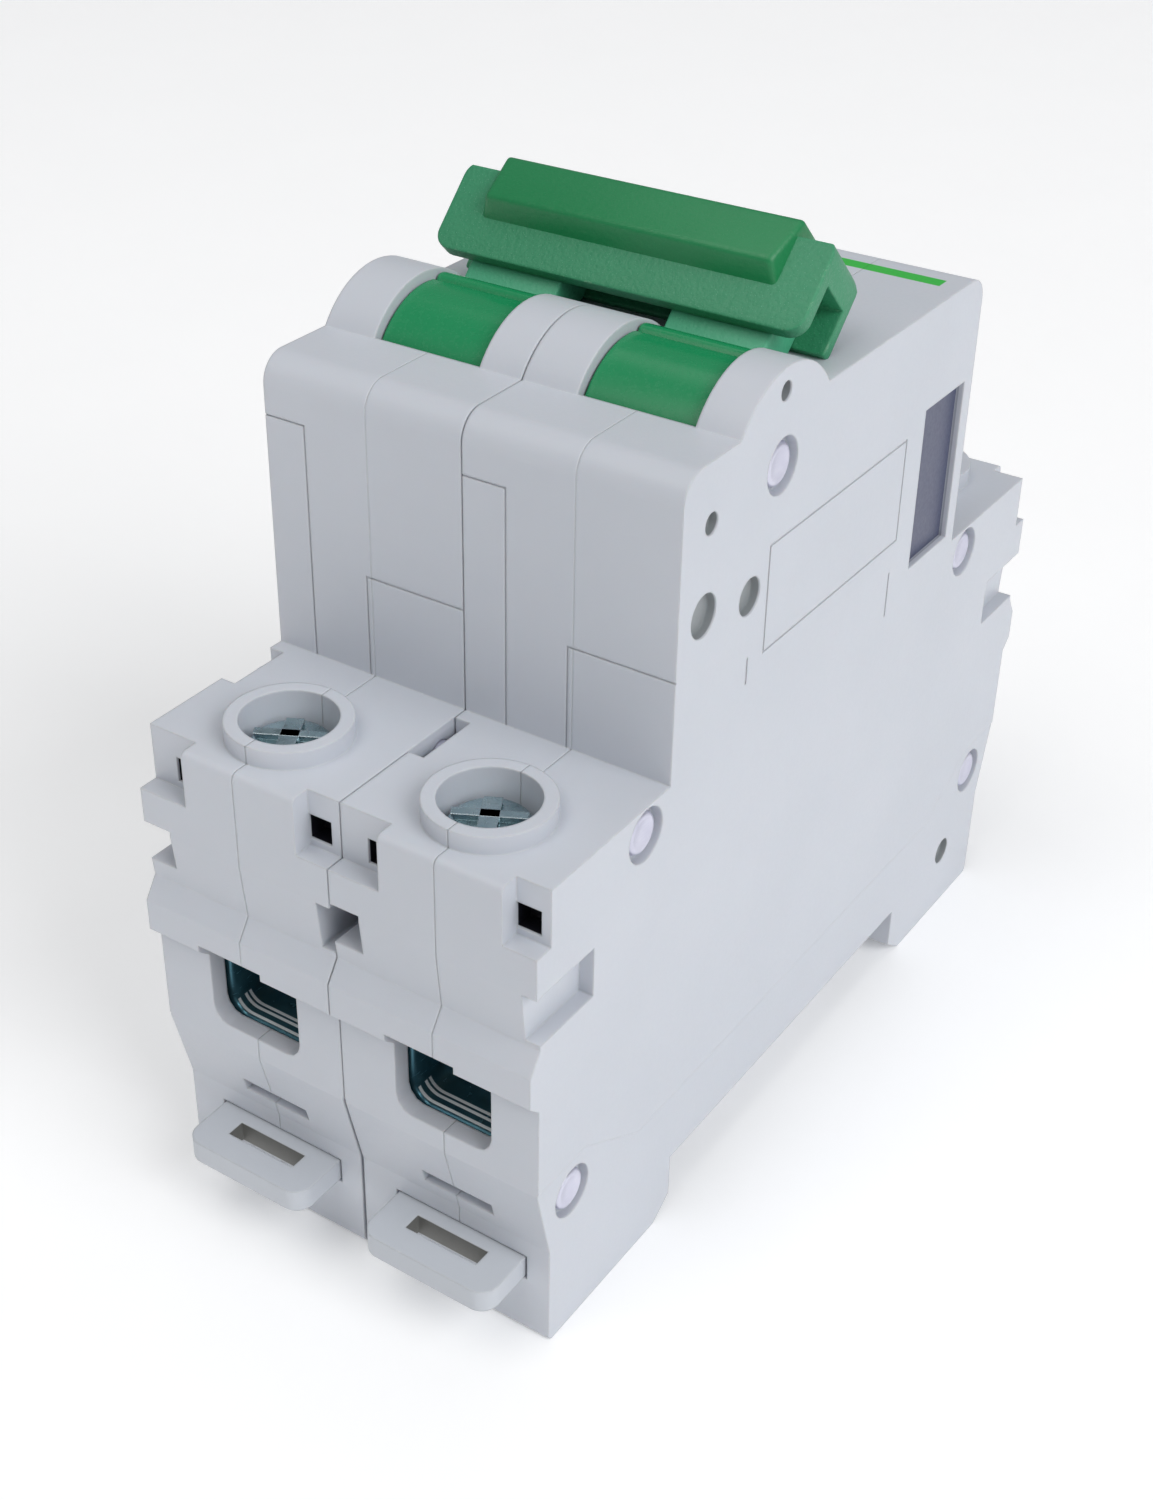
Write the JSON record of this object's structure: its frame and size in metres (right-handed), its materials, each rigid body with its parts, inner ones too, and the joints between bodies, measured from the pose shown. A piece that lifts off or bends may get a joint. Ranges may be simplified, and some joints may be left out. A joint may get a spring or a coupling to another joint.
{
  "type": "miniature circuit breaker",
  "caption": "Rail-mounted circuit breaker of joined poles with toggles tied by one bar, screw-driven cable cages at both ends and sliding rail clips.",
  "frame": {"origin": "centre of the rail seat: on the seam between the poles, midway across the rail, on the recess floor", "axes": "+Z from the rail to the toggles; +Y along the length, from the near terminals to the far ones; +X across the poles from left to right"},
  "size_m": [0.0358, 0.085, 0.0772],
  "materials": {
    "housing_plastic": "satin light grey moulded thermoplastic",
    "handle_plastic": "green moulded plastic with a fine spark texture",
    "clip_plastic": "light grey moulded plastic",
    "rivet_steel": "plain steel",
    "screw_zinc": "bright zinc plate",
    "cage_steel": "zinc plated steel",
    "steel": "plain steel",
    "copper": "bare copper",
    "silver": "silver alloy contact",
    "bimetal": "rolled bimetal",
    "bobbin_plastic": "black glass-filled nylon",
    "fibre": "vulcanised fibre"
  },
  "bodies": {
    "housing": {"left_pole_left_shell": "housing_plastic", "left_pole_right_shell": "housing_plastic", "left_fixed_contact": "copper", "left_fixed_contact_tip": "silver", "left_arm_pin": "steel", "left_arc_chute_frame": "fibre", "left_arc_plates": "steel", "left_arc_runner": "copper", "left_coil_bobbin": "bobbin_plastic", "left_coil_winding": "copper", "left_coil_core": "steel", "left_plunger_spring": "steel", "left_coil_yoke": "steel", "left_bimetal_strip": "bimetal", "left_near_terminal_plate": "copper", "left_far_terminal_plate": "copper", "right_pole_left_shell": "housing_plastic", "right_pole_right_shell": "housing_plastic", "right_fixed_contact": "copper", "right_fixed_contact_tip": "silver", "right_arm_pin": "steel", "right_arc_chute_frame": "fibre", "right_arc_plates": "steel", "right_arc_runner": "copper", "right_coil_bobbin": "bobbin_plastic", "right_coil_winding": "copper", "right_coil_core": "steel", "right_plunger_spring": "steel", "right_coil_yoke": "steel", "right_bimetal_strip": "bimetal", "right_near_terminal_plate": "copper", "right_far_terminal_plate": "copper", "case_rivets": "rivet_steel"},
    "handle": {"left_toggle": "handle_plastic", "right_toggle": "handle_plastic", "handle_tie_bar": "handle_plastic"},
    "left_link": {"left_drive_link": "steel"},
    "left_arm": {"left_contact_arm": "copper", "left_moving_contact": "silver"},
    "left_plunger": {"left_trip_plunger": "steel"},
    "left_lever": {"left_trip_lever": "bobbin_plastic"},
    "left_near_screw": {"left_near_terminal_screw": "screw_zinc"},
    "left_near_cage": {"left_near_terminal_cage": "cage_steel"},
    "left_near_clip": {"left_near_rail_clip": "clip_plastic"},
    "left_far_screw": {"left_far_terminal_screw": "screw_zinc"},
    "left_far_cage": {"left_far_terminal_cage": "cage_steel"},
    "left_far_clip": {"left_far_rail_clip": "clip_plastic"},
    "right_link": {"right_drive_link": "steel"},
    "right_arm": {"right_contact_arm": "copper", "right_moving_contact": "silver"},
    "right_plunger": {"right_trip_plunger": "steel"},
    "right_lever": {"right_trip_lever": "bobbin_plastic"},
    "right_near_screw": {"right_near_terminal_screw": "screw_zinc"},
    "right_near_cage": {"right_near_terminal_cage": "cage_steel"},
    "right_near_clip": {"right_near_rail_clip": "clip_plastic"},
    "right_far_screw": {"right_far_terminal_screw": "screw_zinc"},
    "right_far_cage": {"right_far_terminal_cage": "cage_steel"},
    "right_far_clip": {"right_far_rail_clip": "clip_plastic"}
  },
  "joints": [
    {"name": "toggle_swing", "type": "hinge", "parent": "housing", "child": "handle", "pos_m": [0, -0.0095, 0.0576], "axis": [1, 0, 0], "range_deg": [0, 90]},
    {"name": "left_link_swing", "type": "hinge", "parent": "handle", "child": "left_link", "pos_m": [-0.0085, -0.01268, 0.05442], "axis": [1, 0, 0], "range_deg": [-90, 0]},
    {"name": "left_arm_swing", "type": "hinge", "parent": "housing", "child": "left_arm", "pos_m": [-0.0085, -0.0095, 0.027], "axis": [1, 0, 0], "range_deg": [-20.15, 0]},
    {"name": "left_plunger_slide", "type": "slide", "parent": "housing", "child": "left_plunger", "axis": [0, -1, 0], "range_m": [0, 0.0024], "stiffness_N_per_m": 200, "deforming": ["left_plunger_spring"]},
    {"name": "left_lever_swing", "type": "hinge", "parent": "housing", "child": "left_lever", "pos_m": [-0.0054, -0.004, 0.038], "axis": [1, 0, 0], "range_deg": [-17.19, 0]},
    {"name": "left_near_cage_rise", "type": "slide", "parent": "housing", "child": "left_near_cage", "axis": [0, 0, 1], "range_m": [0, 0.0064]},
    {"name": "left_near_screw_turn", "type": "hinge", "parent": "housing", "child": "left_near_screw", "pos_m": [-0.0085, -0.0331, 0.03], "axis": [0, 0, -1], "range_deg": [0, 2880]},
    {"name": "left_near_clip_slide", "type": "slide", "parent": "housing", "child": "left_near_clip", "axis": [0, -1, 0], "range_m": [0, 0.0035]},
    {"name": "left_far_cage_rise", "type": "slide", "parent": "housing", "child": "left_far_cage", "axis": [0, 0, 1], "range_m": [0, 0.0064]},
    {"name": "left_far_screw_turn", "type": "hinge", "parent": "housing", "child": "left_far_screw", "pos_m": [-0.0085, 0.0331, 0.03], "axis": [0, 0, -1], "range_deg": [0, 2880]},
    {"name": "left_far_clip_slide", "type": "slide", "parent": "housing", "child": "left_far_clip", "axis": [0, 1, 0], "range_m": [0, 0.0035]},
    {"name": "right_link_swing", "type": "hinge", "parent": "handle", "child": "right_link", "pos_m": [0.0095, -0.01268, 0.05442], "axis": [1, 0, 0], "range_deg": [-90, 0]},
    {"name": "right_arm_swing", "type": "hinge", "parent": "housing", "child": "right_arm", "pos_m": [0.0095, -0.0095, 0.027], "axis": [1, 0, 0], "range_deg": [-20.15, 0]},
    {"name": "right_plunger_slide", "type": "slide", "parent": "housing", "child": "right_plunger", "axis": [0, -1, 0], "range_m": [0, 0.0024], "stiffness_N_per_m": 200, "deforming": ["right_plunger_spring"]},
    {"name": "right_lever_swing", "type": "hinge", "parent": "housing", "child": "right_lever", "pos_m": [0.0126, -0.004, 0.038], "axis": [1, 0, 0], "range_deg": [-17.19, 0]},
    {"name": "right_near_cage_rise", "type": "slide", "parent": "housing", "child": "right_near_cage", "axis": [0, 0, 1], "range_m": [0, 0.0064]},
    {"name": "right_near_screw_turn", "type": "hinge", "parent": "housing", "child": "right_near_screw", "pos_m": [0.0095, -0.0331, 0.03], "axis": [0, 0, -1], "range_deg": [0, 2880]},
    {"name": "right_near_clip_slide", "type": "slide", "parent": "housing", "child": "right_near_clip", "axis": [0, -1, 0], "range_m": [0, 0.0035]},
    {"name": "right_far_cage_rise", "type": "slide", "parent": "housing", "child": "right_far_cage", "axis": [0, 0, 1], "range_m": [0, 0.0064]},
    {"name": "right_far_screw_turn", "type": "hinge", "parent": "housing", "child": "right_far_screw", "pos_m": [0.0095, 0.0331, 0.03], "axis": [0, 0, -1], "range_deg": [0, 2880]},
    {"name": "right_far_clip_slide", "type": "slide", "parent": "housing", "child": "right_far_clip", "axis": [0, 1, 0], "range_m": [0, 0.0035]}
  ],
  "couplings": [
    {"joint": "left_link_swing", "follows": "toggle_swing", "ratio": -1},
    {"joint": "left_arm_swing", "follows": "toggle_swing", "ratio": -0.22379},
    {"joint": "left_lever_swing", "follows": "left_plunger_slide", "rad_per_m": -125},
    {"joint": "left_near_screw_turn", "follows": "left_near_cage_rise", "rad_per_m": 7854},
    {"joint": "left_far_screw_turn", "follows": "left_far_cage_rise", "rad_per_m": 7854},
    {"joint": "right_link_swing", "follows": "toggle_swing", "ratio": -1},
    {"joint": "right_arm_swing", "follows": "toggle_swing", "ratio": -0.22379},
    {"joint": "right_lever_swing", "follows": "right_plunger_slide", "rad_per_m": -125},
    {"joint": "right_near_screw_turn", "follows": "right_near_cage_rise", "rad_per_m": 7854},
    {"joint": "right_far_screw_turn", "follows": "right_far_cage_rise", "rad_per_m": 7854}
  ]
}
